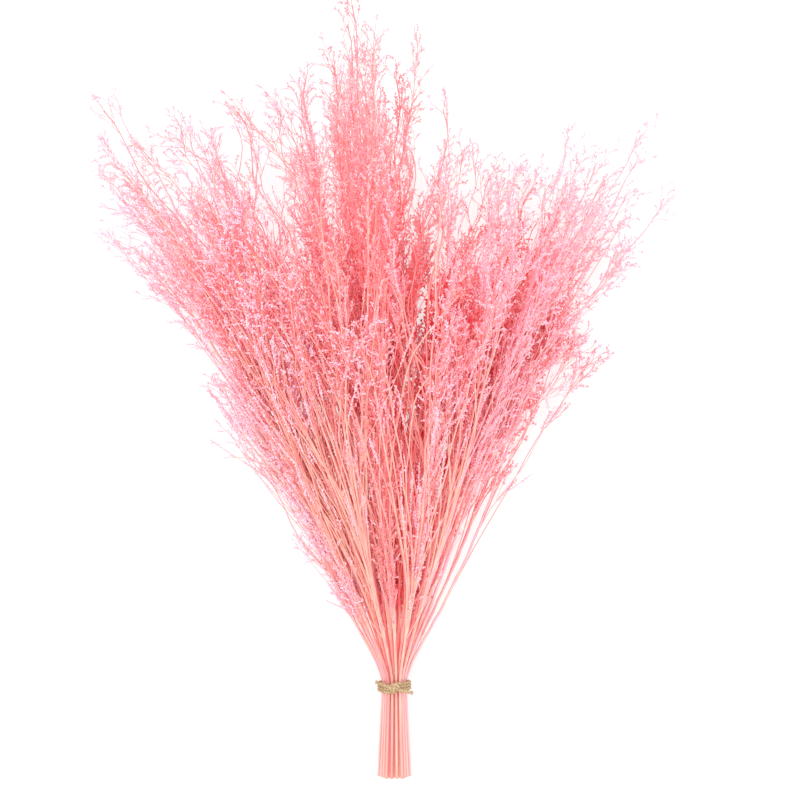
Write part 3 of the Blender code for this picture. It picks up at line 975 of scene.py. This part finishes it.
def addSprays(shell, carriers, starts, chance):
    # Branchlets, spikelets and florets on the carriers. starts says where each one begins to flower.
    look, draw = sprayLook, drawer(sprayLook, chance)
    lines = np.stack(carriers)
    owner, part, order = spread(lengthsOf(lines), look["branchletPitch"], np.array(starts), chance)
    turn = turnsOf(owner, order, look["branchletTurn"], look["branchletTurnJitter"], chance)
    root, _ = along(lines, owner, part)
    kept = hasShoot(root, part, chance)
    owner, part, turn, root = owner[kept], part[kept], turn[kept], root[kept]
    outer = root[:, 0] / look["halfWidth"]
    looseShare = look["looseShare"] + ramp(np.abs(outer), look["looseEdge"]) + ramp(part, look["looseTip"])
    isLoose = chance.uniform(0, 1, len(owner)) < looseShare
    length = np.where(isLoose, blend(look["looseLength"], part), blend(look["tightLength"], part))
    length = length * draw("lengthJitter", len(part))
    slim = 1 - look["tipFinesse"][0] * nearTip(root)
    short = 1 - look["tipFinesse"][1] * nearTip(root)
    angle = np.where(isLoose, draw("looseAngle", len(part)), draw("tightAngle", len(part)))
    outer = np.clip(outer, -1, 1)
    outward, back, down = look["lean"]
    lean = np.stack([outward * outer, back * np.abs(outer), np.full(len(outer), down)], 1)
    looseLean = lean + chance.normal(0, look["leanJitter"], lean.shape)
    lean = np.where(isLoose[:, None], looseLean, look["tightLean"] * lean)
    count = look["branchletPoints"]
    branchlets = keepInside(sprout(lines, owner, part, turn, angle, length, look["branchletBend"], count, lean))
    depth = buried(root)
    addByDepth(shell, branchlets, np.linspace(*look["branchletRadius"], count) * slim[:, None], depth)
    total = addFloretRows(shell, branchlets[~isLoose], look["branchletBare"], chance)
    loose, reach, slim, short, depth = (values[isLoose] for values in (branchlets, length, slim, short, depth))
    # loose branchlets carry spikelets to one side and the other in turn
    owner, part, order = spread(reach, look["spikeletPitch"], np.full(len(reach), look["spikeletFrom"]), chance)
    turn = turnsOf(owner, order, math.pi, look["spikeletTurnJitter"], chance)
    longest, shorter = look["spikeletByPart"]
    size = draw("spikeletLength", len(part)) * (longest - shorter * part) * short[owner]
    angle = draw("spikeletAngle", len(part))
    lean = chance.normal(0, look["spikeletLean"], (len(part), 3))
    spikelets = sprout(loose, owner, part, turn, angle, size, look["spikeletBend"], look["spikeletPoints"], lean)
    spikelets = keepInside(spikelets, look["spikeletRoom"])
    radii = np.full((len(part), 2), look["spikeletRadius"]) * slim[owner][:, None]
    addByDepth(shell, spikelets[:, ::2], radii, depth[owner])
    return total + addFloretRows(shell, spikelets, look["spikeletBare"], chance)


def addStem(shell, place, stem, crown, chance):
    # The main stem up to the tip of its crown, with pith at its cut end.
    look = stemLook
    line = fineLine(np.vstack([stem, crown[2:]]), look["steps"], look["points"])
    kink = chance.normal(0, look["kink"], line.shape)
    kink[:look["straightPoints"]] = 0
    line = line + kink
    thick = stalkShape["stemRadius"]
    radii = blend((thick, look["tipRadius"]), ramp(np.linspace(0, 1, look["points"]), look["taper"]))
    # stems of stalks under the upper rows take the redder finish: painted shade
    isUnder = place[1] < look["underRow"] and abs(place[0]) < look["underSide"]
    addTubes(shell, line[None], radii[None], look["sides"], finishOf["shadedStem" if isUnder else "stem"], look["ribs"])
    ahead = unit(line[1] - line[0])
    disc = np.stack([line[0] - ahead * look["pithProud"], line[0] + ahead * look["pithSunk"]])
    addTubes(shell, disc[None], look["pithShare"] * thick, look["sides"], finishOf["pith"])


def makeStalk(number, place):
    height, stem, crown, twigs = stalkCourses(number, place)
    chance = np.random.default_rng(stemLook["seed"] + number)
    shell = Shell()
    addStem(shell, place, stem, crown, chance)
    wands = wandLines(number, place, height, chance, stem)
    runners = runnerLines(place, height, chance, stem)
    fill = fillLines(number, place, chance, stem)
    points = sprayLook["carrierPoints"]
    carriers = [fineLine(line, sprayLook["carrierSteps"], points) for line in twigs + [crown]]
    carriers += runners + fill
    starts = [wandLook["twigBare"].get(number, sprayLook["twigBare"])] * len(twigs) + [sprayLook["crownBare"]]
    starts += [wandLook["runnerBare"].get(number, sprayLook["runnerBare"])] * len(runners)
    starts += [fillLook["bare"]] * len(fill)
    lines = np.stack(carriers)
    addByDepth(shell, lines, np.linspace(*sprayLook["carrierRadius"], points)[None], buried(lines[:, points // 2]))
    if wands:
        addTubes(shell, np.stack(wands), np.linspace(*wandLook["radius"], points)[None], wandLook["sides"],
                 finishOf["paleStem"])
        carriers += wands
        starts += [wandLook["bare"]] * len(wands)
    florets = addSprays(shell, carriers, starts, chance)
    if wands:
        florets += addForks(shell, wands, chance)
    piece = shell.build(f"statice_{number:02d}", finishesFor(place), bunchShift)
    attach(piece, "root")
    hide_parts(f"stalk_{number:02d}")
    return piece, florets


pieces, floretTotal = [], 0
for number, place in enumerate(places, 1):
    piece, florets = makeStalk(number, place)
    pieces.append(piece)
    floretTotal += florets
print("stalks made:", len(pieces), "florets:", floretTotal,
      "triangles:", sum(len(piece.data.polygons) for piece in pieces))


# The tie.

twineLook = {
    "strands": 2,
    "strandRadius": 0.00062,
    "strandOffset": 0.00050,
    "strandSides": 6,
    "twistLength": 0.0052,  # of twine for one full turn of its strands
    "sideHint": (0.0, 1.0, 0.05),
    "lumps": 0.06, "lumpRate": 9,
    "pointsRound": 110,
    "coilWidth": 0.86,
    "knotPoints": 60,
    "knotLoop": (0.0022, 0.0021), "knotFold": 0.0006, "knotRise": (0.0013, 0.0005),
    "wrapLoop": (0.0005, 0.0024), "wrapRise": (0.0006, 0.0016),
    "endLength": 0.011, "endSlant": 0.3, "endDroop": 0.0022, "endPoints": 30, "endSteps": 8,
    "endReach": (0.0, 0.15, 0.4, 0.7, 1.0),
    "endRise": (1.2, 1.6, 1.1, 0.6, 0.3),
    "fuzzCount": 260, "fuzzRun": 0.2, "fuzzLeast": 6,  # so many on so long a run of twine
    "fuzzLength": 0.0022, "fuzzJitter": (0.3, 1.0),
    "fuzzBend": ((0.35, 0.35), (0.5, 0.95)),  # out and along, at its middle and end
    "fuzzRadius": 0.000035, "fuzzTaper": (1.0, 0.8, 0.4),
    "seed": 77,
}


def twistedStrands(shell, line, chance):
    # The strands of the twine, wound round the line, and their fuzz.
    look, draw = twineLook, drawer(twineLook, chance)
    ahead = unit(np.gradient(line, axis=0))
    run = np.concatenate([[0], np.cumsum(np.linalg.norm(np.diff(line, axis=0), axis=1))])
    side = unit(np.cross(ahead, look["sideHint"]))
    up = np.cross(ahead, side)
    for strand in range(look["strands"]):
        turn = 2 * math.pi * (run / look["twistLength"] + strand / look["strands"])
        path = line + look["strandOffset"] * turned(side, up, turn)
        radii = look["strandRadius"] * (1 + look["lumps"] * np.sin(look["lumpRate"] * turn))
        addTubes(shell, liftOver(path, "strand")[None], radii[None], look["strandSides"], 0)
    count = max(int(look["fuzzCount"] * run[-1] / look["fuzzRun"]), look["fuzzLeast"])
    pick = chance.integers(1, len(line) - 1, count)
    out = turned(side[pick], up[pick], chance.uniform(0, anyTurn, count))
    size = look["fuzzLength"] * draw("fuzzJitter", count)[:, None]
    root = line[pick] + out * look["strandRadius"]
    bend = ahead[pick] * chance.choice([-1, 1], count)[:, None]
    hairs = np.stack([root] + [root + size * (o * out + b * bend) for o, b in look["fuzzBend"]], 1)
    addTubes(shell, liftOver(hairs, "fuzz"), look["fuzzRadius"] * np.array([look["fuzzTaper"]]), 3, 0)


def makeTie():
    look = twineLook
    chance = np.random.default_rng(look["seed"])
    shell = Shell()
    turns, middle = tieShape["turns"], tieInner + tieShape["twineRadius"]
    angle = 2 * math.pi * (np.arange(look["pointsRound"] * turns + 1) / look["pointsRound"]) + 0.5 * math.pi
    y = turnSpacing * (np.linspace(0, turns, len(angle)) - turns / 2) * look["coilWidth"]
    coil = np.stack([middle * np.cos(angle), y, tieHeight + middle * np.sin(angle)], 1)
    top = tieHeight + middle
    t = np.linspace(0, 2 * math.pi, look["knotPoints"])
    (wide, deep), (rise, dip) = look["knotLoop"], look["knotRise"]
    knot = np.stack([wide * np.sin(t) + look["knotFold"] * np.sin(2 * t), deep * np.cos(t),
                     top + rise + dip * np.sin(2 * t)], 1)
    (wide, deep), (rise, swing) = look["wrapLoop"], look["wrapRise"]
    wrap = np.stack([wide * np.sin(2 * t), deep * np.cos(t), top + rise + swing * np.sin(t)], 1)
    lines = [liftOver(coil, "coil"), knot, wrap]
    reach, rise = np.array(look["endReach"]), np.array(look["endRise"])
    for side in (-1, 1):
        end = np.stack([side * look["endLength"] * reach, -side * look["endSlant"] * look["endLength"] * reach,
                        top + tieShape["twineRadius"] * rise - look["endDroop"] * reach ** 2], 1)
        lines.append(fineLine(end, look["endSteps"], look["endPoints"]))
    for line in lines:
        twistedStrands(shell, line, chance)
    piece = shell.build("twine_tie", [twineFibre], bunchShift)
    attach(piece, "root")
    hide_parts("tie")
    return piece


tie = makeTie()
print("tie made:", len(tie.data.polygons), "triangles")


# Floor, light and camera.

studio = {
    "floorSize": 24.0,
    "floorShader": {  # a light table, so that gaps stay pale
        "Base Color": (0.34, 0.34, 0.34, 1), "Roughness": 0.9, "Specular IOR Level": 0.1,
        "Emission Color": (1, 1, 1, 1), "Emission Strength": 0.66,
    },
    "worldStrength": 1.24,
    # place, power and size
    "lights": {"keyLight": ((-0.7, 0.5, 1.9), 9.0, 1.6), "fillLight": ((0.9, -0.6, 1.7), 3.0, 1.6)},
    "diffuseBounces": 10, "mostBounces": 14,  # light passes deep into the bunch and comes back redder
    "cameraAway": 1.0, "perPixel": 0.000577, "imageSize": 800, "sensor": 36.0,
    "tiePixel": (394, 697), "aimHeight": 0.05,
}


def makeFloor():
    bpy.ops.mesh.primitive_plane_add(size=studio["floorSize"], location=(0, 0, 0))
    floor = bpy.context.object
    floor.name = "studioFloor"
    floor.data.materials.append(newFinish("floorPale", studio["floorShader"])[0])


def makeLight(name, spot, power, size):
    lamp = bpy.data.lights.new(name, "AREA")
    lamp.energy, lamp.size, lamp.shape = power, size, "DISK"
    holder = addObject(name, lamp)
    holder.location = spot
    aim = Vector((0, 0, studio["aimHeight"])) - Vector(spot)
    holder.rotation_euler = aim.to_track_quat("-Z", "Y").to_euler()


def makeWorld():
    world = bpy.data.worlds.new("studioAir")
    world.use_nodes = True
    inputs = {"Color": (1, 1, 1, 1), "Strength": studio["worldStrength"]}
    fillInputs(world.node_tree, world.node_tree.nodes["Background"], inputs)
    bpy.context.scene.world = world


def makeCamera():
    look = studio
    data = bpy.data.cameras.new("camera")
    data.sensor_width = look["sensor"]
    data.lens = look["sensor"] * look["cameraAway"] / (look["imageSize"] * look["perPixel"])
    camera = addObject("camera", data)
    half = look["imageSize"] / 2
    camera.location = (
        bunchShift[0] + (half - look["tiePixel"][0]) * look["perPixel"],
        bunchShift[1] + (look["tiePixel"][1] - half) * look["perPixel"],
        look["aimHeight"] + look["cameraAway"],
    )
    bpy.context.scene.camera = camera


makeFloor()
for name, light in studio["lights"].items():
    makeLight(name, *light)
makeWorld()
makeCamera()
bpy.context.scene.view_settings.view_transform = "Standard"
bpy.context.scene.cycles.diffuse_bounces = studio["diffuseBounces"]
bpy.context.scene.cycles.max_bounces = studio["mostBounces"]
print("studio made")
